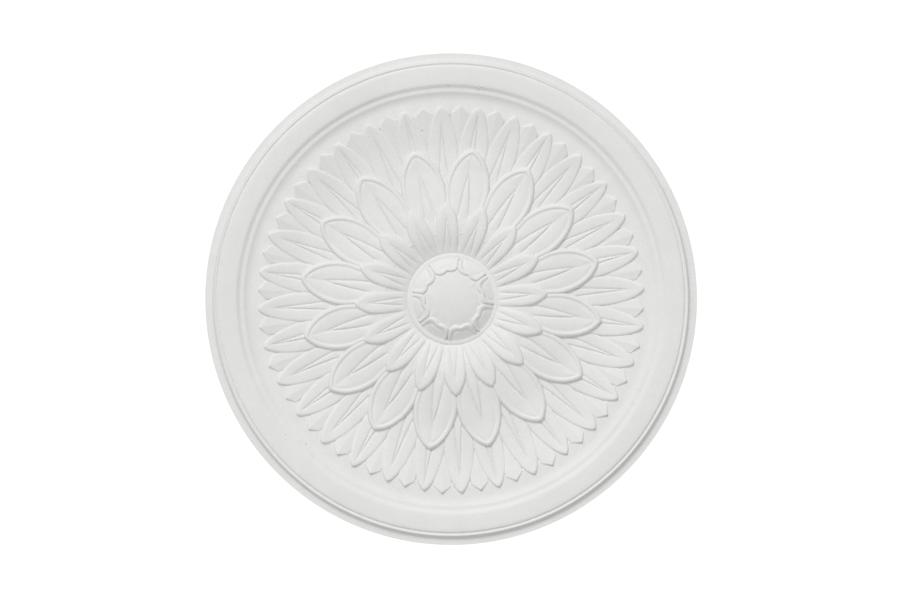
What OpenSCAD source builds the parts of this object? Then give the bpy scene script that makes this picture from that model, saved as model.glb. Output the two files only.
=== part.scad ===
// Ceiling rose, cast in plaster as one piece.
// A moulded rim surrounds four overlapping tiers of petals and a domed button.
// It hangs face down: the flat back lies on the plane z = 0 and the relief points to -Z.
// Angles of the carving run clockwise, as seen from below with -Y at the top.
// All sizes are in millimetres.

/* [Overall] */
// Diameter of the rose
rose_d = 600; // [480:10:760]
// Thickness of the casting at the plain field round the petals
field_h = 15; // [12:0.5:24]
// Angle of the first outer petal, clockwise from -Y
first_petal = 8.2; // [0:0.1:22.5]

/* [Rim moulding] */
// Thickness of the casting at its outer edge
edge_h = 14; // [8:0.5:20]
// Width of the hollow slope inside the edge
slope_w = 9.6; // [6:0.2:14]
// Rise of the hollow slope
slope_rise = 2.6; // [1:0.2:5]
// Width of the steep step up to the bead
step_w = 2; // [1:0.2:4]
// Width of the narrow bead
bead_w = 3.2; // [2:0.2:5]
// Width of the groove between bead and band
groove_w = 2.6; // [1.6:0.2:5]
// Depth of the groove, under the band
groove_depth = 1.8; // [0.6:0.2:3]
// Width of the broad band
band_w = 18.6; // [12:0.2:30]
// Height of the band above the field
band_rise = 9; // [6:0.5:14]
// Crown in the middle of the band
band_crown = 0.6; // [0.2:0.1:1.5]
// Width of the rounded step inside the band
ogee_w = 6; // [4:0.2:9]
// Width of the flat fillet inside the step
fillet_w = 3.6; // [2:0.2:6]
// Height of the fillet above the field
fillet_rise = 4.4; // [2:0.2:5.5]
// Width of the cove from the fillet down to the field
cove_w = 11; // [6:0.5:16]

/* [Petal tiers] */
// Petals in the inner tier, and again in the middle tier
tier_count = 16; // [12:1:20]
// How far the inner and the outer tier are turned against the other two
tier_turn = 0.2; // [0.1:0.05:0.4]
// How much each petal leans to its side, as a slope
lean = 0.02; // [0.01:0.005:0.04]
// Gap on the field between the cove and the outer petal tips
tip_gap = 7.8; // [4:0.2:12]
// How far the inner tips reach across the petals' ring
inner_reach = 0.338; // [0.28:0.01:0.4]
// How far the middle tips reach across the petals' ring
middle_reach = 0.714; // [0.66:0.01:0.76]
// Length of an outer petal's tapering end
outer_point = 52; // [36:1:60]
// Length of a middle petal's tapering end
middle_point = 52; // [36:1:60]
// Length of an inner petal's tapering end
inner_point = 34; // [20:1:40]
// Length of the bare end of a petal of the back tier
back_point = 8.6; // [6:0.2:12]
// Half the width of a petal of the back tier at its shoulders
back_half_w = 11; // [8:0.2:14]
// Lowest level of the outer petals, under the field
outer_dip = 3; // [1:0.2:4]
// Height of the outer tips above the field
outer_tip_rise = 4; // [2:0.2:6]
// Height of the back tier's tips above the field
back_tip_rise = 3.2; // [2.6:0.2:5]
// Height of the middle tips above the field
middle_tip_rise = 2; // [1:0.2:4]
// Height of the middle petals above the field at their base
middle_base_rise = 6.4; // [4:0.2:8]
// Height of the inner petals' crest above the field
inner_crest_rise = 10.8; // [9:0.2:15]
// Fall of the inner petals from their crest to the button
inner_bowl = 11; // [6:0.2:12]
// Crown of a petal's blade, from its crest to its edge
blade_crown = 1.1; // [0.4:0.1:2]
// Height of a midrib above the valley beside it
rib_rise = 0.9; // [0.3:0.1:1.5]
// Half the width of an outer petal's midrib at its root
outer_rib_w = 4.5; // [2:0.5:6]
// Half the width of a middle petal's midrib at its root
middle_rib_w = 9; // [5:0.5:11]
// Half the width of an inner petal's midrib at its root
inner_rib_w = 6; // [3:0.5:8]
// Width of the rolled border of a middle petal
border_w = 5; // [3:0.2:7]
// Depth of the dished middle petal inside its border
border_depth = 1.1; // [0.4:0.1:2]

/* [Button] */
// Outer diameter of the button at its rim
button_d = 114; // [96:1:130]
// Height of the button's top above the field
button_rise = 14.5; // [12:0.5:20]
// Height of the button's rim above the field
button_rim_rise = 0.2; // [-1:0.1:1.5]
// Diameter of the smooth dome in the middle
dome_d = 64; // [50:1:76]
// Height of the dome above the ledge round it
dome_rise = 4; // [2:0.2:6]
// Width of the raised ring round the button
ring_w = 5; // [3:0.5:8]
// How far the button sits off the middle, to the side
button_shift = 2.4; // [-4:0.2:4]

/* [Hidden] */

$fn = 128;
arc_steps = 5;
// Half the width of a petal's blunt tip.
min_half = 0.8;
// How far a petal runs into the next one, below the shoulders.
overlap = 0.4;
// Slope of a petal's edge, outwards to its foot.
draft = 0.8;
// Depth to which the petals and the button are rooted in the bed.
anchor = 1;
// Width of the bed's slope under the tips.
bed_slope = 8;
// How far the inner petals run in under the button's ring.
button_lap = 4;

rose_r = rose_d / 2;
band_h = field_h + band_rise;
fillet_h = field_h + fillet_rise;
step_r = rose_r - slope_w;
bead_r = step_r - step_w;
groove_r = bead_r - bead_w;
band_r = groove_r - groove_w;
ogee_r = band_r - band_w;
fillet_r = ogee_r - ogee_w;
cove_r = fillet_r - fillet_w;
field_r = cove_r - cove_w;

button_r = button_d / 2;
flank_r = button_r - ring_w;
dome_r = dome_d / 2;
button_top = field_h + button_rise;
button_rim = field_h + button_rim_rise;
ledge_h = button_top - dome_rise;

outer_tip = field_r - tip_gap;
petal_ring = outer_tip - button_r;
inner_tip = button_r + inner_reach * petal_ring;
middle_tip = button_r + middle_reach * petal_ring;
bed_h = field_h - outer_dip - 3;
bed_r = outer_tip - 1.1 * back_point;

// Each tier tapers from its shoulders and is rooted under the tier above.
outer_shoulder = outer_tip - outer_point;
outer_root = outer_shoulder - 0.85 * outer_point;
middle_shoulder = middle_tip - middle_point;
middle_root = button_r + 0.15 * petal_ring;
inner_shoulder = inner_tip - inner_point;
inner_root = button_r - button_lap;
half_pitch = 180 / tier_count;

// ---- outlines and heights ----

// Points of an arc from a to b that bows by "bow" to its left-hand side.
function bowed(a, b, bow, steps = arc_steps) =
    let (run = b - a, left = [-run[1], run[0]] / norm(run))
    [for (i = [0:steps]) let (t = i / steps) a + run * t + left * bow * 4 * t * (1 - t)];

// Half the width of a petal at radius r: it fills its share of the circle up to
// the shoulder and then closes to its point in a full, pointed arch.
function taper(r, shoulder, tip) =
    r <= shoulder ? 1 : pow(max(0, 1 - pow((r - shoulder) / (tip - shoulder), 2.2)), 0.68);

function half_width(r, count, shoulder, tip) =
    let (share = min(r, shoulder) * tan(180 / count), lap = r < shoulder ? overlap : 0)
    max(min_half, share * taper(r, shoulder, tip) + lap);

// Radii of the sections of a petal, closer together towards the tip.
function stations(base, shoulder, tip, steps) =
    concat([base], [for (i = [0:steps]) shoulder + (tip - shoulder) * sin(90 * i / steps)]);

function mirrored(half) =
    concat(half, [for (i = [len(half) - 1:-1:0]) if (half[i][0] != 0) [-half[i][0], half[i][1]]]);

// Level of each tier's blades at radius r, above the back.
function outer_level(r) =
    let (t = max(0, (r - outer_shoulder) / outer_point))
    field_h - outer_dip + (outer_tip_rise + outer_dip) * pow(t, 1.5);

function middle_level(r) =
    let (
        low = middle_tip - 0.5 * middle_point,
        curl = 0.4 * middle_tip_rise,
        inwards = max(0, min(1, (low - r) / (low - inner_tip + 0.5 * inner_point))),
        outwards = max(0, (r - low) / (middle_tip - low))
    )
    field_h + middle_tip_rise - curl * (1 - outwards)
        + (middle_base_rise - middle_tip_rise + curl) * pow(inwards, 1.2);

function inner_level(r) =
    let (
        crest = inner_tip - 0.6 * inner_point,
        inwards = max(0, (crest - r) / (crest - button_r)),
        outwards = max(0, (r - crest) / (inner_tip - crest))
    )
    field_h + inner_crest_rise - inner_bowl * pow(inwards, 2) - 2 * pow(outwards, 2);

// ---- solids ----

// Joins closed sections of equal length into one solid.
module loft(sections) {
    k = len(sections[0]);
    last = len(sections) - 1;
    sides = [
        for (i = [0:last - 1], j = [0:k - 1])
            let (a = i * k + j, b = i * k + (j + 1) % k)
            each [[a, a + k, b], [b, a + k, b + k]]
    ];
    start = [for (j = [0:k - 1]) j];
    end = [for (j = [k - 1:-1:0]) last * k + j];
    polyhedron(points = [for (s = sections) each s], faces = concat(sides, [start], [end]));
}

// Sets a flat section [across, height] upright at radius r, leaning a little to one side.
function at_radius(section, r) = [for (p = section) [p[0], r, p[1] + lean * p[0]]];

// A crowned blade with a raised midrib that narrows to nothing at rib_end.
function blade_section(w, level, rib_w, valley) = mirrored([
    [-w - draft, bed_h - anchor],
    [-w, level - blade_crown],
    [-0.55 * w, level],
    [-rib_w, level - valley],
    [0, level - valley + rib_rise * valley / blade_crown]
]);

module blade(count, base, shoulder, tip, rib_end, rib_base, steps, level) {
    loft([
        for (r = stations(base, shoulder, tip, steps))
            let (
                w = half_width(r, count, shoulder, tip),
                rib = max(0, (rib_end - r) / (rib_end - base)),
                rib_w = max(0.25 * w * (1 - rib), rib_base * rib),
                valley = blade_crown * min(1, 3 * rib)
            )
            at_radius(blade_section(w, level(r), rib_w, valley), r)
    ]);
}

// A middle petal: a rolled border round a dished blade with its midrib.
function bordered_section(w, inner_w, level, dish, rib_w) = mirrored([
    [-w - draft, bed_h - anchor],
    [-w, level - blade_crown],
    [-(w + inner_w) / 2, level],
    [-inner_w, level - dish],
    [-inner_w * 0.55, level - 0.5 * dish],
    [-rib_w, level - dish],
    [0, level - dish + rib_rise * dish / border_depth]
]);

module bordered_blade(count, base, shoulder, tip, rib_end, rib_base, steps, level) {
    inside_tip = tip - 1.8 * border_w;
    loft([
        for (r = stations(base, shoulder, tip, steps))
            let (
                w = half_width(r, count, shoulder, tip),
                inside = max(0, (w - border_w) / w),
                inner_w = max(0.4 * w, w - border_w) * min(1, 0.5 + taper(r, shoulder, inside_tip)),
                rib = max(0, (rib_end - r) / (rib_end - base)),
                dish = border_depth * min(1, 2 * inside),
                rib_w = max(0.4 * inner_w * (1 - rib), rib_base * rib)
            )
            at_radius(bordered_section(w, inner_w, level(r), dish, rib_w), r)
    ]);
}

// A petal of the back tier: two flat facets that meet in a sharp ridge.
function roof_section(w, ridge, fall) = [
    [-w - draft, bed_h - anchor],
    [-w, ridge - fall],
    [0, ridge],
    [w, ridge - fall],
    [w + draft, bed_h - anchor]
];

module back_petal() {
    tip = outer_tip - 0.6;
    ridge = field_h + back_tip_rise;
    loft([
        at_radius(roof_section(0.7 * back_half_w, field_h - outer_dip, 2), tip - 4 * back_point),
        at_radius(roof_section(back_half_w, ridge - 0.5, 1.8), tip - back_point),
        at_radius(roof_section(min_half, ridge, 0.3), tip)
    ]);
}

module ring_of(count, first) {
    for (i = [0:count - 1]) {
        rotate([0, 0, -first - 360 / count * i]) children();
    }
}

// The four tiers, tied together by a disc inside the bed.
module petals() {
    color("white") resize([0, 0, 0]) union() {
        translate([0, 0, bed_h - 2 * anchor]) cylinder(r = outer_tip + anchor, h = 1.5 * anchor, $fn = 32);
        ring_of(2 * tier_count, first_petal + half_pitch / 2) back_petal();
        ring_of(2 * tier_count, first_petal + tier_turn)
            blade(2 * tier_count, outer_root, outer_shoulder, outer_tip,
                outer_tip - 0.3 * outer_point, outer_rib_w, 3, function (r) outer_level(r));
        ring_of(tier_count, first_petal)
            bordered_blade(tier_count, middle_root, middle_shoulder, middle_tip,
                middle_tip - 0.4 * middle_point, middle_rib_w, 3, function (r) middle_level(r));
        ring_of(tier_count, first_petal + half_pitch + tier_turn)
            blade(tier_count, inner_root, inner_shoulder, inner_tip,
                inner_tip - 0.25 * inner_point, inner_rib_w, 3, function (r) inner_level(r));
    }
}

// The body: the flat back, the moulded rim and the bed under the petals.
module body() {
    color("white") rotate_extrude() polygon(concat(
        [[0, 0], [rose_r, 0]],
        bowed([rose_r, edge_h], [step_r, edge_h + slope_rise], 0.8),
        bowed([bead_r, band_h - 1.4], [groove_r, band_h - 1.2], -0.6),
        [[(groove_r + band_r) / 2, band_h - groove_depth]],
        bowed([band_r, band_h - 0.4], [ogee_r, band_h - 0.6], -band_crown),
        bowed([ogee_r - 0.25 * ogee_w, band_h - 1.4], [fillet_r, fillet_h], -0.1),
        bowed([cove_r, fillet_h - 0.3], [field_r, field_h], 1.4),
        [[bed_r, field_h], [bed_r - bed_slope, bed_h], [0, bed_h]]
    ));
}

// The button: rim ring, sloping flank, ledge and smooth dome.
module button() {
    color("white") translate([button_shift, 0, 0]) rotate_extrude() polygon(concat(
        [[0, bed_h - anchor], [button_r, bed_h - anchor]],
        bowed([button_r, button_rim - 1.2], [flank_r, button_rim], -1),
        bowed([flank_r, button_rim], [dome_r, ledge_h], -0.5),
        [for (i = [1:arc_steps]) let (t = 1 - i / arc_steps) [dome_r * t, button_top - dome_rise * t * t]]
    ));
}

// The rose as it lies on its back, face up.
module face_up() {
    body();
    button();
    petals();
}

module ceiling_rose() {
    rotate([180, 0, 0]) face_up();
}

ceiling_rose();
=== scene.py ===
"""A plaster ceiling rose: the casting with its carved petals, its finish, the room's light and the camera.

Sizes are in millimetres until a mesh is made. The casting is worked out face up, with its flat
back on the plane z = 0, and turned over at the end, because the rose hangs face down.
"""

import math

import bmesh
import bpy
import numpy as np
from mathutils import Matrix, Vector, noise
from mathutils.bvhtree import BVHTree


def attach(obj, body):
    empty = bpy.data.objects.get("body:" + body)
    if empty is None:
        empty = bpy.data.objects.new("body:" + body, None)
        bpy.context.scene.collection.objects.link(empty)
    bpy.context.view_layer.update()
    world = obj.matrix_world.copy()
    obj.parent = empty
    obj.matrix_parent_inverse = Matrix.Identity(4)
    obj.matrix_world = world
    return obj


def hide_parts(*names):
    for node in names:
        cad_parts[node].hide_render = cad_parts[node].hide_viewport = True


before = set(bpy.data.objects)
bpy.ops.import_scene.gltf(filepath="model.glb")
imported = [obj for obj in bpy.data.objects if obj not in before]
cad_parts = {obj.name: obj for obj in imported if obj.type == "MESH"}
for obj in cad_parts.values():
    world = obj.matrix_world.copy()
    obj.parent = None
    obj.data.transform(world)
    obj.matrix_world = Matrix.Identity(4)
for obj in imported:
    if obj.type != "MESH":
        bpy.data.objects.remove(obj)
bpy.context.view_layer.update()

MM = 0.001

# ---- sizes of the rose ----

ROSE_RADIUS = 300.0
FIELD = 15.0  # thickness at the plain field between the rim and the petals
BED = 9.0  # thickness under the outer petals
FOOT = 7.5  # level to which every petal is rooted in the bed
BUTTON_RADIUS = 57.0
BUTTON_SHIFT = 2.4  # how far the button sits beside the middle

TIER_COUNT = 16
PITCH = 2 * math.pi / TIER_COUNT
FIRST_PETAL = math.radians(8.2)
FIRST_NOTCH = math.radians(8.7)
SCALLOPS = 8

LEAN = 0.012  # slope of a petal to its side
WELD = 0.002  # corners closer than this become one
SEED = 7


# ---- curves ----


def smooth(t):
    """Rises from 0 to 1 with level ends."""
    t = np.clip(t, 0, 1)
    return t * t * (3 - 2 * t)


def bell(t, width):
    """Rises to 1 at t = 0 and falls away on both sides."""
    return math.exp(-((t / width) ** 2))


def rounded(distance, radius, drop):
    """Fall of the surface near a rounded edge, at a distance inside that edge."""
    near = np.clip(1 - distance / radius, 0, 1)
    return -drop * (1 - np.sqrt(1 - near * near))


def arch(r, shoulder, tip, fullness, bluntness):
    """Share of its full width that a petal has at radius r: a pointed arch."""
    t = np.clip((r - shoulder) / (tip - shoulder), 0, 1)
    return (1 - t**fullness) ** bluntness


def edge_distance(points, outline):
    """Distance of each point from the nearest place on an outline."""
    start, run = outline[:-1], np.diff(outline, axis=0)
    to_point = points[:, None, :] - start[None]
    along = np.clip((to_point * run).sum(2) / (run * run).sum(1), 0, 1)
    return np.linalg.norm(to_point - along[..., None] * run, axis=2).min(1)


# ---- mesh building ----


def add_object(name, data):
    """Puts a mesh, a lamp or a camera into the scene."""
    thing = bpy.data.objects.new(name, data)
    bpy.context.scene.collection.objects.link(thing)
    return thing


def finish_mesh(name, corners, faces):
    """Makes a closed mesh in metres from corners in millimetres, with its faces pointing outwards."""
    shape = bmesh.new()
    made = [shape.verts.new(Vector(corner) * MM) for corner in corners]
    for face in faces:
        shape.faces.new([made[i] for i in face])
    bmesh.ops.remove_doubles(shape, verts=shape.verts, dist=WELD * MM)
    bmesh.ops.recalc_face_normals(shape, faces=shape.faces)
    mesh = bpy.data.meshes.new(name)
    shape.to_mesh(mesh)
    shape.free()
    return add_object(name, mesh)


def loft(name, sections):
    """Joins closed sections of equal length into one solid with flat ends."""
    count, size = len(sections), len(sections[0])
    corners = [corner for section in sections for corner in section]
    faces = []
    for i in range(count - 1):
        for j in range(size):
            a, b = i * size + j, i * size + (j + 1) % size
            faces.append((a, b, b + size, a + size))
    faces.append(tuple(range(size)))
    faces.append(tuple(range((count - 1) * size, count * size)))
    return finish_mesh(name, corners, faces)


def joined_round(name, columns):
    """Joins columns of corners, set round the axis, into a closed solid; their ends lie on the axis."""
    around, size = len(columns), len(columns[0])
    corners = [corner for column in columns for corner in column]
    faces = []
    for i in range(around):
        for j in range(size - 1):
            a, b = i * size + j, (i + 1) % around * size + j
            faces.append((a, a + 1, b + 1, b))
    return finish_mesh(name, corners, faces)


def turned(name, profile, segments):
    """Turns a profile of (radius, height) round the axis; both its ends lie on the axis."""
    columns = []
    for i in range(segments):
        angle = 2 * math.pi * i / segments
        columns.append([(r * math.sin(angle), r * math.cos(angle), h) for r, h in profile])
    return joined_round(name, columns)


class Petal:
    """One petal along +Y: its outline, its level and the relief across it."""

    skirt = ((0.4, 0.6), (1.0, 2.0), (1.6, 4.0))  # how far out and down the rounded side falls
    draft = 0.6  # how much further out the side meets the bed
    blunt = 0.45  # half the width of the tip's end
    groove = 1.7  # half the width of the grooves that bound a rib

    def __init__(self, name, span, half_width, level, relief, rib, edges, inside=6, rows=(8, 18)):
        """span: radii of the root, the shoulder and the tip. edges: how far in from the outline the
        border's lines lie. inside: lines from the border to the rib. rows: sections below and above
        the shoulder."""
        self.name = name
        self.root, self.shoulder, self.tip = span
        self.half_width = lambda r: np.maximum(self.blunt, half_width(r))
        self.level, self.relief, self.rib = level, relief, rib
        self.edges = np.array(edges)
        self.inside = inside
        self.lower_rows, self.upper_rows = rows

    def rows(self):
        """Radii of the petal's sections, closer together towards the tip."""
        lower = np.linspace(self.root, self.shoulder, self.lower_rows, endpoint=False)
        quarter = np.linspace(0, math.pi / 2, self.upper_rows)
        along = 0.65 * np.sin(quarter) + 0.35 * np.linspace(0, 1, self.upper_rows)
        return np.concatenate([lower, self.shoulder + (self.tip - self.shoulder) * along])

    def outline(self):
        """Points along one side, from behind the root to the tip."""
        lower = np.linspace(self.root - 20, self.shoulder, 40, endpoint=False)
        upper = self.tip - (self.tip - self.shoulder) * np.linspace(1, 0, 160) ** 2
        r = np.concatenate([lower, upper])
        return np.stack([self.half_width(r), r], axis=1)

    def lines(self, r, outline):
        """Where the relief's lines cross radius r, from the edge in to the rib's crown, with the
        places of the border's inner line and of the rib's side."""
        half = float(self.half_width(r))
        across = np.linspace(0, half, 70)
        depth = edge_distance(np.stack([across, np.full_like(across, r)], axis=1), outline)
        depth = np.minimum.accumulate(depth)
        border = np.interp(self.edges, depth[::-1], across[::-1])
        border[0] = half
        inner = border[-1]
        rib = min(float(self.rib(r)), 0.8 * inner)
        outside = min(self.groove, 0.6 * (inner - rib))
        within = min(self.groove, 0.6 * rib)
        steps = np.linspace(0, 1, self.inside + 1)[1:]
        s = np.concatenate([
            border,
            inner + (rib + outside - inner) * steps,
            rib + outside * np.array([0.5, 0.0]),
            rib - within * np.array([0.5, 1.0]),
            (rib - within) * np.array([0.6, 0.3, 0.0]),
        ])
        return s, inner, rib

    def hem(self, top):
        """How far out and how high the lines of the rounded side lie, from the foot up."""
        foot = (self.skirt[-1][0] + self.draft, FOOT)
        side = [(out, max(top - down, FOOT + 0.6 - 0.2 * out)) for out, down in reversed(self.skirt)]
        return [foot, *side]

    def section(self, r, outline):
        """Points across the petal at radius r, from the foot on one side to the foot on the other."""
        s, inner, rib = self.lines(r, outline)
        d = edge_distance(np.stack([s, np.full_like(s, r)], axis=1), outline)
        d[0] = 0
        z = self.level(r) + self.relief(r, s, d, inner, rib)
        half = [(float(a), float(h)) for a, h in zip(s, z)]
        left = [(-a, r, h - LEAN * a) for a, h in half]
        right = [(a, r, h + LEAN * a) for a, h in reversed(half[:-1])]
        fall = float(self.half_width(r - 0.2) - self.half_width(r + 0.2)) / 0.4
        sideways, forwards = (part / math.hypot(1, fall) for part in (1, fall))
        edge, top = half[0]
        hem = self.hem(top)
        near = [(-edge - out * sideways, r + out * forwards, h) for out, h in hem]
        far = [(edge + out * sideways, r + out * forwards, h) for out, h in reversed(hem)]
        return [*near, *left, *right, *far]

    def build(self):
        outline = self.outline()
        return loft(self.name, [self.section(float(r), outline) for r in self.rows()])


# ---- the four tiers: outlines ----

OUTER_ROOT, OUTER_SHOULDER, OUTER_TIP = 132.0, 183.0, 235.4
MIDDLE_ROOT, MIDDLE_SHOULDER, MIDDLE_TIP = 80.0, 131.7, 184.4
INNER_ROOT, INNER_SHOULDER, INNER_TIP = 53.0, 83.0, 117.2
BACK_ROOT, BACK_SHOULDER, BACK_TIP = 176.0, 227.4, 235.6
LAP = 0.4  # how far neighbouring petals run into each other


def share(r, count):
    """Half the room that each of count petals has at radius r."""
    return r * math.tan(math.pi / count)


def outer_half(r):
    full = share(np.minimum(r, OUTER_SHOULDER), 2 * TIER_COUNT)
    return full * arch(r, OUTER_SHOULDER, OUTER_TIP, 1.8, 0.6) + LAP * (r < OUTER_SHOULDER)


def middle_half(r):
    full = share(np.minimum(r, MIDDLE_SHOULDER), TIER_COUNT)
    return full * arch(r, MIDDLE_SHOULDER, MIDDLE_TIP, 2.3, 0.72) + LAP * (r < MIDDLE_SHOULDER)


def inner_half(r):
    widest, taper = 13.2, 0.085
    full = widest - taper * (INNER_SHOULDER - np.minimum(r, INNER_SHOULDER))
    return full * arch(r, INNER_SHOULDER, INNER_TIP, 2.3, 0.72)


def back_half(r):
    at_root, widest = 7.0, 11.0
    widening = at_root + (widest - at_root) * (r - BACK_ROOT) / (BACK_SHOULDER - BACK_ROOT)
    closing = widest * (BACK_TIP - r) / (BACK_TIP - BACK_SHOULDER)
    return np.minimum(widening, closing)


# ---- the four tiers: levels along the petals ----


def outer_level(r):
    """Sunk where it leaves the middle tier, and curled up towards its tip."""
    dip, rise = 3.1, 7.8
    return FIELD - dip + rise * np.clip((r - OUTER_SHOULDER) / (OUTER_TIP - OUTER_SHOULDER), 0, 1) ** 1.5


def middle_level(r):
    """Lowest part of the way out, with a climb inwards and a slight curl at the tip."""
    low, top_of_climb = 158.0, 108.0
    curl = 1.1 * smooth((r - low) / (MIDDLE_TIP - low))
    climb = 5.2 * np.clip((low - r) / (low - top_of_climb), 0, 1) ** 1.2
    return FIELD + 0.7 + curl + climb


def inner_level(r):
    """Highest at a crest, from which it bows down to the button and to its tip."""
    crest, bowl, fall = 97.0, 11.0, 1.7
    inwards = np.clip((crest - r) / (crest - BUTTON_RADIUS), 0, None)
    outwards = np.clip((r - crest) / (INNER_TIP - crest), 0, 1)
    return FIELD + 10.4 - bowl * inwards**2 - fall * outwards**2


def back_level(r):
    """Rises steadily to the tip."""
    tip_rise, slope = 4.2, 0.2
    return FIELD + tip_rise - slope * (BACK_TIP - r)


def root_depth(r):
    """How deep the carving of the inner petals is: it begins a little way out from the button."""
    return smooth((r - 56.5) / 9.0)


# ---- the four tiers: relief across the petals ----
# A relief takes the radius, the distances from the petal's middle, the distances from its outline,
# the place of the border's inner line and half the rib's width.


def grooved_rib(s, rib, depth, crown):
    """A crowned rib between two narrow grooves that close to one where the rib ends."""
    outside = np.clip(1 - (s - rib) / Petal.groove, 0, 1)
    within = np.clip(1 - (rib - s) / Petal.groove, 0, 1)
    groove = -depth * np.where(s >= rib, outside**1.3, within**1.1)
    top = crown * np.clip(1 - (s / max(rib, 0.4)) ** 2, 0, 1) * min(1.0, rib / 3.0)
    return groove + top


def blade_relief(apex, drop, fall, depth):
    """Relief of a crowned blade that falls softly to the grooves of its rib, which ends at apex."""

    def relief(r, s, d, inner, rib):
        w = max(float(s[0]), 0.5)
        crest = 0.6 * w
        fading = float(smooth((apex + 8 - r) / 13.0))
        edge = rounded(d, 3.2, drop) - 0.35 * np.clip((s - crest) / (w - crest), 0, 1) ** 2
        inwards = np.clip((crest - s) / max(crest - rib, 0.5), 0, 1)
        hollow = -fall * fading * inwards**1.6 * np.where(s < rib, 0.5, 1)
        return edge + hollow + fading * grooved_rib(s, rib, depth, 0.35)

    return relief


def bordered_relief(r, s, d, inner, rib):
    """Relief of a middle petal: a rolled border, then a dished blade with a broad crowned rib."""
    roll = rounded(d, 2.6, 1.7) + 0.25 * smooth(d / 2.4)
    near_tip = float(smooth((r - 120.0) / 40.0))
    wall = -(1.0 + 0.5 * near_tip) * smooth((d - 3.3) / 2.3)
    q = np.clip((inner - s) / max(inner - rib, 0.5), 0, 1)
    fading = float(smooth((164.0 - r) / 16.0))
    crown = 0.8 * np.sin(math.pi * q**0.8) * float(smooth((inner - rib) / 9.0))
    return roll + wall + crown + fading * grooved_rib(s, rib, 1.4, 1.0)


def dished_relief(r, s, d, inner, rib):
    """Relief of an inner petal: rounded edges and a dished blade with a narrow rib."""
    w = max(float(s[0]), 0.5)
    crest = 0.66 * w
    edge = rounded(d, 4.0, 2.2)
    inwards = np.clip((crest - s) / max(crest - rib, 0.5), 0, 1)
    fading = float(smooth((106.0 - r) / 12.0))
    hollow = (0.25 + 0.5 * fading) * smooth(inwards)
    return root_depth(r) * (edge - hollow + fading * grooved_rib(s, rib, 1.2, 0.5))


def roof_relief(r, s, d, inner, rib):
    """Relief of a back petal: two flat facets that meet in a ridge."""
    pitch, ridge = 0.14, 0.16
    return -pitch * np.sqrt(s * s + ridge) + rounded(d, 1.3, 0.5)


# ---- the four tiers: half the width of the ribs ----


def outer_rib(apex, base, width):
    """A rib that narrows evenly from its width at base to a point at apex."""
    return lambda r: width * np.clip((apex - r) / (apex - base), 0, 1.25)


def middle_rib(r):
    base, length, width = 96.0, 58.0, 6.3
    t = np.clip((r - base) / length, 0, 1)
    return width * (1 - t**1.7) ** 0.9


def inner_rib(r):
    length, width = 42.0, 4.6
    t = np.clip((r - BUTTON_RADIUS) / length, 0, 1)
    return width * (1 - t**1.3)


def back_rib(r):
    return 0.4


# ---- the petals ----

OUTER = (OUTER_ROOT, OUTER_SHOULDER, OUTER_TIP)
MIDDLE = (MIDDLE_ROOT, MIDDLE_SHOULDER, MIDDLE_TIP)
INNER = (INNER_ROOT, INNER_SHOULDER, INNER_TIP)
BACK = (BACK_ROOT, BACK_SHOULDER, BACK_TIP)

LONG_APEX, SHORT_APEX = 224.0, 214.0  # where the ribs of the outer petals end

# How far in from the outline the lines of each border lie.
OUTER_EDGE = (0, 0.25, 0.7, 1.4, 2.3, 3.3)
MIDDLE_EDGE = (0, 0.25, 0.7, 1.4, 2.3, 3.3, 4.2, 5.1, 6.0)
INNER_EDGE = (0, 0.25, 0.8, 1.6, 2.8, 4.2)
BACK_EDGE = (0, 0.4, 0.9, 1.4)

PETALS = {
    "back": Petal(
        "back_petal", BACK, back_half, back_level, roof_relief, back_rib, BACK_EDGE, inside=3, rows=(5, 7)
    ),
    "outer_long": Petal(
        "outer_petal_with_long_rib", OUTER, outer_half, outer_level,
        blade_relief(LONG_APEX, 1.9, 0.6, 1.3), outer_rib(LONG_APEX, 185.0, 3.0), OUTER_EDGE,
    ),
    "outer_short": Petal(
        "outer_petal_with_short_rib", OUTER, outer_half, outer_level,
        blade_relief(SHORT_APEX, 1.9, 0.6, 1.35), outer_rib(SHORT_APEX, 158.5, 4.5), OUTER_EDGE,
    ),
    "middle": Petal(
        "middle_petal", MIDDLE, middle_half, middle_level, bordered_relief, middle_rib, MIDDLE_EDGE,
        inside=8, rows=(12, 22),
    ),
    "inner": Petal(
        "inner_petal", INNER, inner_half, inner_level, dished_relief, inner_rib, INNER_EDGE,
        inside=6, rows=(12, 18),
    ),
}


# ---- the turned body ----

BODY_SEGMENTS = 288


def bowed(a, b, bow, steps):
    """Points of a shallow arc from a to b."""
    (ax, ay), (bx, by) = a, b
    length = math.hypot(bx - ax, by - ay)
    left = (-(by - ay) / length, (bx - ax) / length)
    points = []
    for i in range(steps + 1):
        t = i / steps
        out = bow * 4 * t * (1 - t)
        points.append((ax + (bx - ax) * t + left[0] * out, ay + (by - ay) * t + left[1] * out))
    return points


def collar_point(r):
    """A point of the collar under the inner petals: it lies just below their carving."""
    return float(r), float(inner_level(r)) - 0.5 - 2.4 * float(root_depth(r))


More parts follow.
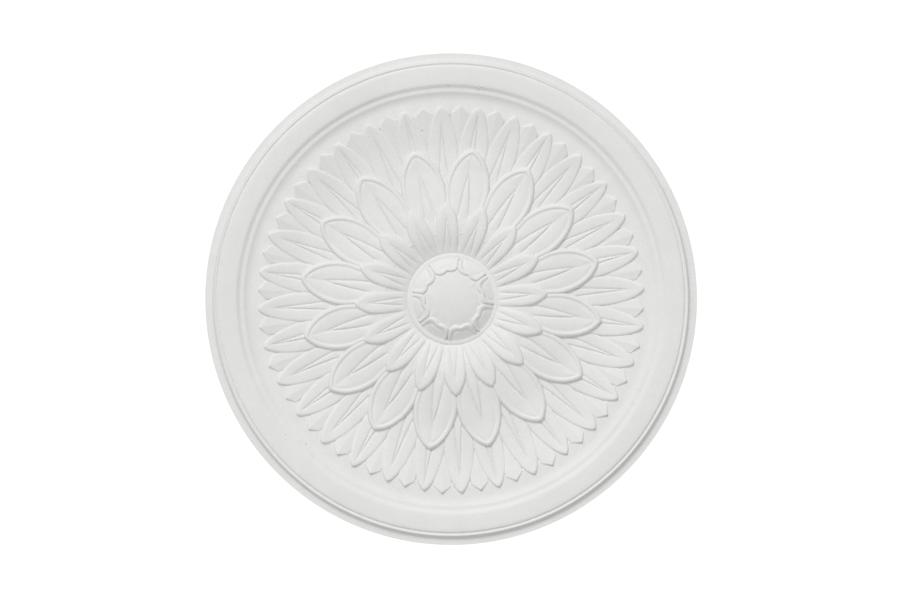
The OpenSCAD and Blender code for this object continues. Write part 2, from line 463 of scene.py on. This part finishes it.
def body_profile():
    """The flat back, the moulded rim, the plain field and the bed under the petals, from the outside in."""
    band = FIELD + 7.7
    fillet = FIELD + 4.0
    back_and_edge = [(0, 0), (ROSE_RADIUS - 0.8, 0), (ROSE_RADIUS, 0.8), (ROSE_RADIUS, 13.3)]
    slope_and_step = [
        *bowed((299.6, 14.8), (292.6, 15.6), 0.2, 5),
        (291.9, 16.0), (291.0, 16.7), (290.3, 17.9), (289.7, 19.5),
    ]
    bead_and_groove = [
        *bowed((289.2, band - 2.0), (287.0, band - 1.3), -0.55, 8),
        (286.6, band - 1.9), (286.2, band - 2.3), (285.7, band - 2.45), (285.2, band - 2.2),
        (284.7, band - 1.6), (284.2, band - 0.85), (283.7, band - 0.3),
    ]
    crowned_band = [
        *bowed((282.9, band), (262.8, band - 0.2), -0.3, 6),
        (261.8, band - 0.45), (260.8, band - 1.0),
    ]
    step_and_fillet = [
        (258.6, fillet + 0.9), (257.6, fillet + 0.3), (256.7, fillet + 0.05), (255.8, fillet),
        (253.4, fillet - 0.05), (252.7, fillet - 0.25),
    ]
    cove_and_field = [
        *bowed((252.0, fillet - 0.6), (242.2, FIELD + 0.05), 0.8, 7),
        (239.6, FIELD), (226.0, FIELD),
    ]
    bed = [(218.0, BED), (122.0, BED), (112.0, FIELD + 1.5), (100.0, FIELD + 5.4)]
    collar = [collar_point(r) for r in (90, 83, 76, 70, 65, 61, 57)]
    under_button = [(52.0, BED), (0, BED)]
    return [
        *back_and_edge, *slope_and_step, *bead_and_groove, *crowned_band,
        *step_and_fillet, *cove_and_field, *bed, *collar, *under_button,
    ]


# ---- the button ----

BUTTON_EDGE = 56.2
FLANK_FOOT = 50.4
BUTTON_COLUMNS = 32  # columns of corners across one scallop

# The button's form without its scallops, from the middle out: radius, and height above the field.
BUTTON_FORM = [
    (0, 14.5), (8, 14.3), (16, 13.6), (24, 12.4), (31, 10.7),  # dome
    (33.5, 10.1), (36.5, 9.7), (38.5, 8.8),  # ledge
    (41, 7.5), (50.0, 0.5), (50.8, 0.1),  # flank
    (52.0, 0.3), (53.4, 0.1), (54.6, -0.3), (55.6, -0.8), (BUTTON_EDGE, -1.4),  # ring
]


def button_base(r):
    """Height of the button without its scallops."""
    places, heights = zip(*BUTTON_FORM)
    return FIELD + float(np.interp(r, places, heights))


def scallop_edge(phase, lean):
    """Radius of a scallop's inner edge: a brace with two lobes and a cusp between them."""
    middle, skew, cusp, horns = 32.0, 0.9, 1.5, 5.6
    point = cusp * bell(phase - 0.12 * lean, 0.2)
    return middle + skew * lean * math.sin(math.pi * phase) + point + horns * abs(phase) ** 5


def scallop_relief(r, phase, lean):
    """The roll round a scallop, the groove inside it, and the crease and pit in the notch."""
    edge_width, notch_width = 6.0, 4.6
    pit_radius, pit_size = 48.6, 1.3
    from_notch = r * math.pi / SCALLOPS * (1 - abs(phase))
    to_edge = max(0.0, r - scallop_edge(phase, lean)) / edge_width
    to_notch = from_notch / notch_width
    depth = (max(to_edge, 1e-3) ** -2 + max(to_notch, 1e-3) ** -2) ** -0.5
    roll = 1.9 * math.sin(math.pi * min(depth, 1.0)) ** 0.8
    crease = -1.0 * bell(depth, 0.15)
    groove = -1.0 * bell(depth - 1.06, 0.17)
    pit = -2.0 * math.exp(-(((r - pit_radius) / pit_size) ** 2 + (from_notch / pit_size) ** 2))
    ending = float(smooth((FLANK_FOOT + 0.2 - r) / 1.2))
    return (roll + crease + groove) * ending + pit


def button_point(phase, lean, step):
    """Radius and height on the button, at a phase across one scallop. Whole steps lie at the middle,
    the scallop's edge, the far side of its roll, the foot of the flank and the button's edge."""
    edge = scallop_edge(phase, lean)
    r = float(np.interp(step, [0, 1, 2, 3, 4], [0, edge, edge + 6.2, FLANK_FOOT, BUTTON_EDGE]))
    height = button_base(r)
    return r, height + (scallop_relief(r, phase, lean) if r > edge - 0.01 else 0.0)


def make_button():
    """The button: each scallop is crossed by lines that are closer together towards its notches."""
    rng = np.random.default_rng(SEED)
    spans = [np.linspace(i, i + 1, count, endpoint=False) for i, count in enumerate((6, 11, 10))]
    steps = np.concatenate([*spans, np.linspace(3, 4, 9)])
    columns = []
    for scallop in range(SCALLOPS):
        lean = rng.uniform(-1, 1)
        for i in range(BUTTON_COLUMNS):
            u = 2 * i / BUTTON_COLUMNS - 1
            phase = 0.62 * u + 0.38 * math.sin(math.pi / 2 * u)
            angle = FIRST_NOTCH + (2 * scallop + 1 + phase) * math.pi / SCALLOPS
            column = [button_point(phase, lean, float(step)) for step in steps]
            column += [(BUTTON_EDGE + 0.1, FOOT), (0, FOOT)]
            columns.append([(BUTTON_SHIFT + r * math.sin(angle), r * math.cos(angle), h) for r, h in column])
    return joined_round("button", columns)


# ---- nodes ----


class Value:
    """A node's output, usable in sums."""

    def __init__(self, graph, socket):
        self.graph, self.socket = graph, socket

    def other(self, name):
        """Another output of the same node."""
        return Value(self.graph, self.socket.node.outputs[name])

    def calculated(self, operation, first, second):
        return self.graph.node("ShaderNodeMath", {"operation": operation}, {0: first, 1: second})

    def __add__(self, other):
        return self.calculated("ADD", self, other)

    def __radd__(self, other):
        return self.calculated("ADD", other, self)

    def __mul__(self, other):
        return self.calculated("MULTIPLY", self, other)

    def __rmul__(self, other):
        return self.calculated("MULTIPLY", other, self)

    def __truediv__(self, other):
        return self.calculated("DIVIDE", self, other)

    def __rtruediv__(self, other):
        return self.calculated("DIVIDE", other, self)

    def __gt__(self, other):
        return self.calculated("GREATER_THAN", self, other)


class Graph:
    """A node tree that is built by one call for each node."""

    def __init__(self, tree):
        self.tree = tree

    def node(self, kind, settings=None, inputs=None, output=0):
        """Adds a node: first its settings, then its inputs' values or links. Returns one of its outputs."""
        made = self.tree.nodes.new(kind)
        for name, value in (settings or {}).items():
            if name == "stops":
                ramp = made.color_ramp.elements
                ramp[0].position, ramp[0].color = value[0]
                ramp[1].position, ramp[1].color = value[-1]
                for position, colour in value[1:-1]:
                    ramp.new(position).color = colour
            else:
                setattr(made, name, value)
        for key, value in (inputs or {}).items():
            for one in value if isinstance(value, list) else [value]:
                if isinstance(one, Value):
                    self.tree.links.new(one.socket, made.inputs[key])
                else:
                    made.inputs[key].default_value = one
        return Value(self, made.outputs[output]) if len(made.outputs) else made


def emptied(owner):
    """The graph of a material or a world, cleared of the nodes that it starts with."""
    owner.use_nodes = True
    owner.node_tree.nodes.clear()
    return Graph(owner.node_tree)


def new_tree(name, inputs):
    """A Geometry Nodes tree with named inputs and one geometry output."""
    tree = bpy.data.node_groups.new(name, "GeometryNodeTree")
    for label, kind in inputs:
        tree.interface.new_socket(label, in_out="INPUT", socket_type=kind)
    tree.interface.new_socket("Geometry", in_out="OUTPUT", socket_type="NodeSocketGeometry")
    return tree


def shape_of(g, thing):
    """The geometry of an object that a tree is given."""
    return g.node("GeometryNodeObjectInfo", {"transform_space": "ORIGINAL"}, {"Object": thing}, "Geometry")


def close_tree(g, result, finish):
    """Ends a tree: its result becomes plain geometry in one finish."""
    real = g.node("GeometryNodeRealizeInstances", None, {"Geometry": result})
    coated = g.node("GeometryNodeSetMaterial", None, {"Geometry": real, "Material": finish})
    g.node("NodeGroupOutput", None, {"Geometry": coated})


def run_tree(thing, tree, chosen, used):
    """Gives an object the plain mesh that a tree makes of it, and removes the objects that it used."""
    modifier = thing.modifiers.new(tree.name, "NODES")
    modifier.node_group = tree
    for item in tree.interface.items_tree:
        if item.in_out == "INPUT" and item.name in chosen:
            modifier[item.identifier] = chosen[item.name]
    layer = bpy.context.evaluated_depsgraph_get()
    layer.update()
    mesh = bpy.data.meshes.new_from_object(thing.evaluated_get(layer), depsgraph=layer)
    thing.modifiers.remove(modifier)
    thing.data = mesh
    for part in used:
        bpy.data.objects.remove(part)


def ring_tree():
    """Sets one petal round the circle, with small differences from petal to petal."""
    tree = new_tree("ring of petals", [
        ("Petal", "NodeSocketObject"), ("Count", "NodeSocketInt"), ("First angle", "NodeSocketFloat"),
        ("Turn spread", "NodeSocketFloat"), ("Size spread", "NodeSocketFloat"),
        ("Lift spread", "NodeSocketFloat"), ("Seed", "NodeSocketInt"),
    ])
    g = Graph(tree)
    given = g.node("NodeGroupInput")
    index = g.node("GeometryNodeInputIndex")

    def spread(label, shift):
        """A number between minus and plus the named spread, for each petal."""
        limit = given.other(label)
        seed = given.other("Seed") + shift
        return g.node("FunctionNodeRandomValue", {"data_type": "FLOAT"},
                      {2: -1 * limit, 3: limit, "ID": index, "Seed": seed}, output=1)

    pitch = 2 * math.pi / given.other("Count")
    angle = given.other("First angle") + index * pitch + spread("Turn spread", 1)
    place = g.node("ShaderNodeCombineXYZ", None, {"Z": spread("Lift spread", 2)})
    turn = g.node("ShaderNodeCombineXYZ", None, {"Z": -1 * angle})
    size = g.node("ShaderNodeCombineXYZ", None,
                  {"X": 1 + spread("Size spread", 3), "Y": 1 + 0.3 * spread("Size spread", 4), "Z": 1.0})
    points = g.node("GeometryNodePoints", None, {"Count": given.other("Count"), "Position": place})
    petal = shape_of(g, given.other("Petal"))
    ring = g.node("GeometryNodeInstanceOnPoints", None,
                  {"Points": points, "Instance": petal, "Rotation": turn, "Scale": size})
    g.node("NodeGroupOutput", None, {"Geometry": ring})
    return tree


def casting_tree(ring, rings):
    """Unites the body, the button and the rings of petals into one closed surface."""
    sockets = [
        ("Geometry", "NodeSocketGeometry"), ("Button", "NodeSocketObject"),
        ("Finish", "NodeSocketMaterial"), ("Seed", "NodeSocketInt"),
    ]
    for name in rings:
        sockets.append((f"{name} petal", "NodeSocketObject"))
        sockets.append((f"{name} count", "NodeSocketInt"))
        sockets.append((f"{name} angle", "NodeSocketFloat"))
    tree = new_tree("ceiling rose casting", sockets)
    g = Graph(tree)
    given = g.node("NodeGroupInput")
    parts = [given, shape_of(g, given.other("Button"))]
    for name, (_, _, _, turn, size, lift) in rings.items():
        parts.append(g.node("GeometryNodeGroup", {"node_tree": ring}, {
            "Petal": given.other(f"{name} petal"), "Count": given.other(f"{name} count"),
            "First angle": given.other(f"{name} angle"), "Turn spread": turn, "Size spread": size,
            "Lift spread": lift, "Seed": given.other("Seed") + 10 * len(parts),
        }))
    united = g.node("GeometryNodeMeshBoolean", {"operation": "UNION", "solver": "MANIFOLD"}, {1: parts})
    close_tree(g, united, given.other("Finish"))
    return tree


def flaw_tree():
    """Adds the lumps to the casting, and takes the air holes out of it."""
    tree = new_tree("flaws of the cast", [
        ("Geometry", "NodeSocketGeometry"), ("Lumps", "NodeSocketObject"),
        ("Holes", "NodeSocketObject"), ("Finish", "NodeSocketMaterial"),
    ])
    g = Graph(tree)
    given = g.node("NodeGroupInput")
    size = g.node("GeometryNodeInputNamedAttribute", {"data_type": "FLOAT"}, {"Name": "size"})
    ball = g.node("GeometryNodeMeshIcoSphere", None, {"Radius": 1.0, "Subdivisions": 2}, output="Mesh")

    def balls(name):
        """A ball of its own size at each point of the named object."""
        points = shape_of(g, given.other(name))
        return g.node("GeometryNodeInstanceOnPoints", None,
                      {"Points": points, "Instance": ball, "Scale": size})

    joined = g.node("GeometryNodeMeshBoolean", {"operation": "UNION", "solver": "MANIFOLD"},
                    {1: [given, balls("Lumps")]})
    cut = g.node("GeometryNodeMeshBoolean", {"operation": "DIFFERENCE", "solver": "MANIFOLD"},
                 {0: joined, 1: balls("Holes")})
    close_tree(g, cut, given.other("Finish"))
    return tree


# ---- finish ----

CLEAN = (0.825, 0.825, 0.815, 1)
AGED = (0.79, 0.79, 0.78, 1)
DULL = (0.74, 0.74, 0.73, 1)
SPECK = (0.725, 0.725, 0.715, 1)


def plaster():
    """Old white plaster: faint mottling, dull patches and specks, a fine cast grain, and a dragged back."""
    made = bpy.data.materials.new("plaster")
    g = emptied(made)
    place = g.node("ShaderNodeTexCoord", output="Object")

    def cloud(scale, detail, roughness=0.55):
        return g.node("ShaderNodeTexNoise", None,
                      {"Vector": place, "Scale": scale, "Detail": detail, "Roughness": roughness})

    def mask(field, low, high):
        """Nothing below the low value of a field, and all above the high one."""
        stops = [(low, (0, 0, 0, 1)), (high, (1, 1, 1, 1))]
        return g.node("ShaderNodeValToRGB", {"stops": stops}, {"Fac": field})

    def blend(amount, below, above):
        return g.node("ShaderNodeMix", {"data_type": "RGBA"}, {0: amount, 6: below, 7: above}, output=2)

    mottle = mask(cloud(9, 4), 0.35, 0.7)
    patches = mask(cloud(55, 5), 0.4, 0.75)
    speckle = mask(cloud(620, 2), 0.38, 0.66)
    colour = blend(mottle, CLEAN, AGED)
    colour = blend(0.35 * patches, colour, DULL)
    colour = blend(0.5 * speckle, colour, SPECK)
    grain = cloud(430, 5, 0.7)
    lumps = cloud(120, 4)
    upright = g.node("ShaderNodeSeparateXYZ", None, {"Vector": place}, output="Z")
    on_back = upright > -0.0004
    along = g.node("ShaderNodeVectorMath", {"operation": "MULTIPLY"}, {0: place, 1: (5, 190, 5)})
    streaks = g.node("ShaderNodeTexNoise", None, {"Vector": along, "Scale": 1, "Detail": 4, "Roughness": 0.6})
    height = 0.5 * grain + lumps + 1.6 * (on_back * streaks)
    bump = g.node("ShaderNodeBump", None, {"Strength": 0.4, "Distance": 0.0006, "Height": height})
    dullness = 0.78 + 0.12 * cloud(40, 3)
    shader = g.node("ShaderNodeBsdfPrincipled", None, {
        "Base Color": colour, "Roughness": dullness, "Normal": bump, "Specular IOR Level": 0.3,
    })
    g.node("ShaderNodeOutputMaterial", None, {"Surface": shader})
    return made


def plain_finish(name, colour):
    """An even matt paint."""
    made = bpy.data.materials.new(name)
    g = emptied(made)
    shader = g.node("ShaderNodeBsdfPrincipled", None, {"Base Color": colour, "Roughness": 0.9})
    g.node("ShaderNodeOutputMaterial", None, {"Surface": shader})
    return made


# ---- make the casting ----

# For each ring: its petal, the number of petals, its first angle, and how much its petals differ in
# turn (radians), in size (a share) and in height (metres).
RINGS = {
    "Back": ("back", 2 * TIER_COUNT, FIRST_PETAL + PITCH / 4, 0.005, 0.02, 0.0002),
    "Outer long": ("outer_long", TIER_COUNT, FIRST_PETAL, 0.002, 0.01, 0.00015),
    "Outer short": ("outer_short", TIER_COUNT, FIRST_PETAL + PITCH / 2, 0.002, 0.01, 0.00015),
    "Middle": ("middle", TIER_COUNT, FIRST_PETAL, 0.002, 0.008, 0.00015),
    "Inner": ("inner", TIER_COUNT, FIRST_PETAL + PITCH / 2, 0.003, 0.01, 0.0002),
}


def build_casting():
    """The whole casting in one closed mesh, before its flaws."""
    casting = turned("rose_casting", body_profile(), BODY_SEGMENTS)
    button = make_button()
    shapes = {name: petal.build() for name, petal in PETALS.items()}
    chosen = {"Button": button, "Finish": plaster(), "Seed": SEED}
    for name, (petal, count, angle, *_) in RINGS.items():
        chosen.update({f"{name} petal": shapes[petal], f"{name} count": count, f"{name} angle": angle})
    run_tree(casting, casting_tree(ring_tree(), RINGS), chosen, [button, *shapes.values()])
    return casting


# ---- flaws of the cast ----

# Air holes that show on the face: angle in degrees, radius, and half the hole's width.
AIR_HOLES = [
    (182.4, 181.8, 1.4), (174.4, 234.0, 1.2), (59.2, 192.9, 1.3), (225.0, 250.1, 1.3),
    (230.5, 260.8, 1.2), (359.2, 259.9, 1.3), (350.2, 208.0, 1.7),
]
BACK_HOLES = 26
BACK_HOLE_REACH = 290  # they lie within this radius
RIDGE = ((338.6, 238.4), (343.1, 232.0))  # ends of a thin raised flash on the field: angle and radius
BURR = (8.0, 259.9)  # angle and radius of ragged plaster left in the step inside the band
ABOVE = 100  # a height well above the face


def place_at(angle, radius, height):
    """A place in metres, from an angle in degrees, a radius and a height."""
    angle = math.radians(angle)
    return Vector((radius * MM * math.sin(angle), radius * MM * math.cos(angle), height * MM))


def flaw_points(surface, spots, sunk):
    """Points on the face, each sunk by a share of its size, and the sizes of the balls they carry."""
    down = Vector((0, 0, -1))
    points = []
    for angle, radius, size in spots:
        face = surface.ray_cast(place_at(angle, radius, ABOVE), down)[0]
        points.append(face + down * (sunk * size * MM))
    return points, [size for *_, size in spots]


def flaw_object(name, points, sizes):
    """An object of loose points that hold the sizes of their balls."""
    mesh = bpy.data.meshes.new(name)
    mesh.from_pydata([tuple(p) for p in points], [], [])
    kept = mesh.attributes.new("size", "FLOAT", "POINT")
    kept.data.foreach_set("value", [size * MM for size in sizes])
    return add_object(name, mesh)


def ridge_spots():
    """Spots along the flash, largest in its middle."""
    (start_angle, start_radius), (end_angle, end_radius) = RIDGE
    spots = []
    for t in np.linspace(0, 1, 16):
        angle = start_angle + (end_angle - start_angle) * t
        radius = start_radius + (end_radius - start_radius) * t
        spots.append((angle, radius, 0.5 + 0.3 * math.sin(math.pi * t)))
    return spots


def burr_spots(rng):
    """Spots scattered over the ragged place."""
    angle, radius = BURR
    spots = []
    for _ in range(10):
        spots.append((angle + rng.uniform(-1.4, 1.4), radius + rng.uniform(-2.2, 2.2), rng.uniform(0.7, 1.5)))
    return spots


def add_flaws(rose):
    """The flash, the ragged place and the air holes, which small balls add to the casting or cut from it."""
    rng = np.random.default_rng(SEED)
    surface = BVHTree.FromObject(rose, bpy.context.evaluated_depsgraph_get())
    lumps = flaw_object("lumps", *flaw_points(surface, ridge_spots() + burr_spots(rng), 0.35))
    points, sizes = flaw_points(surface, AIR_HOLES, -0.1)
    for _ in range(BACK_HOLES):
        angle = rng.uniform(0, 360)
        points.append(place_at(angle, BACK_HOLE_REACH * math.sqrt(rng.uniform(0, 1)), 0))
    sizes += [rng.uniform(0.7, 2.2) for _ in range(BACK_HOLES)]
    holes = flaw_object("holes", points, sizes)
    chosen = {"Lumps": lumps, "Holes": holes, "Finish": rose.data.materials[0]}
    run_tree(rose, flaw_tree(), chosen, [lumps, holes])


def soften(mesh):
    """Hand-made unevenness: the whole relief wanders a little, and the flat back and the edge stay true.
    Everything here is in metres."""
    noise.seed_set(SEED)  # without it the noise starts from the clock
    broad_reach, broad_scale = 0.00035, 22
    fine_reach, fine_scale = 0.00012, 90
    back_depth = 0.006  # the wandering fades over this height above the back
    edge, edge_width = 0.2995, 0.02
    corners = np.empty(len(mesh.vertices) * 3)
    mesh.vertices.foreach_get("co", corners)
    corners = corners.reshape(-1, 3)
    drift = []
    for corner in corners:
        corner = Vector(corner)
        broad, fine = noise.noise_vector(corner * broad_scale), noise.noise_vector(corner * fine_scale)
        drift.append([*(broad_reach * broad + fine_reach * fine)])
    drift = np.array(drift)
    drift *= smooth(corners[:, 2:] / back_depth)
    inside = smooth((edge - np.linalg.norm(corners[:, :2], axis=1)) / edge_width)
    drift[:, :2] *= inside[:, None]
    mesh.vertices.foreach_set("co", (corners + drift).ravel())
    mesh.update()


def turn_over(mesh):
    mesh.transform(Matrix.Rotation(math.pi, 4, "X"))


def shade(mesh):
    """Smooth shading over soft forms, sharp lines where faces meet steeply, and a flat back."""
    mesh.shade_smooth()
    mesh.set_sharp_from_angle(angle=math.radians(48))
    for face in mesh.polygons:
        if face.normal.z > 0.999 and face.center.z > -1e-6:
            face.use_smooth = False


rose = build_casting()
add_flaws(rose)
soften(rose.data)
turn_over(rose.data)
shade(rose.data)
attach(rose, "root")
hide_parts("ceiling_rose")


# ---- floor, light and camera ----

FLOOR_LEVEL = -4.0
FLOOR_HALF = 9.0


def make_floor():
    """A pale floor far below the rose, which casts no shadow on it."""
    mesh = bpy.data.meshes.new("floor")
    signs = ((-1, -1), (1, -1), (1, 1), (-1, 1))
    mesh.from_pydata([(x * FLOOR_HALF, y * FLOOR_HALF, FLOOR_LEVEL) for x, y in signs], [], [(0, 1, 2, 3)])
    mesh.materials.append(plain_finish("pale floor", (0.68, 0.68, 0.67, 1)))
    thing = add_object("floor", mesh)
    thing.visible_shadow = False


def soft_light(name, place, spread, strength):
    """An even light from the direction of a place, softened over an angle in degrees."""
    lamp = bpy.data.lights.new(name, "SUN")
    lamp.angle, lamp.energy = math.radians(spread), strength
    thing = add_object(name, lamp)
    thing.location = place
    thing.rotation_euler = (-Vector(place)).to_track_quat("-Z", "Y").to_euler()


def make_lights():
    """Light from a window to one side, from the room below, and from above for the back."""
    turn, slope = math.radians(19.5), math.radians(51)
    level = math.cos(slope)
    window = (-math.sin(turn) * level, -math.cos(turn) * level, -math.sin(slope))
    soft_light("window light", window, 26, 1.72)
    soft_light("room light", (0, 0, -1), 120, 1.0)
    soft_light("upper light", (1.0, 1.3, 2.0), 30, 1.1)


def make_world():
    """A pale room: softly lit, and plain white where nothing stands in front of it."""
    world = bpy.data.worlds.new("room")
    g = emptied(world)
    seen = g.node("ShaderNodeLightPath", output="Is Camera Ray")
    strength = 0.45 + 0.58 * seen
    light = g.node("ShaderNodeBackground", None, {"Color": (1, 1, 1, 1), "Strength": strength})
    g.node("ShaderNodeOutputWorld", None, {"Surface": light})
    bpy.context.scene.world = world


def make_camera():
    """Looks straight up at the rose, with its top towards -Y; the view is a little off the middle."""
    away, view_width = 3.4, 1.1031
    beside, along = -0.0014, 0.0011
    camera = bpy.data.cameras.new("camera")
    camera.sensor_width = 36.0
    camera.lens = camera.sensor_width * away / view_width
    thing = add_object("camera", camera)
    thing.location = (beside, along, -away)
    thing.rotation_euler = (math.pi, 0, 0)
    bpy.context.scene.camera = thing


make_floor()
make_lights()
make_world()
make_camera()
bpy.context.scene.view_settings.view_transform = "Standard"
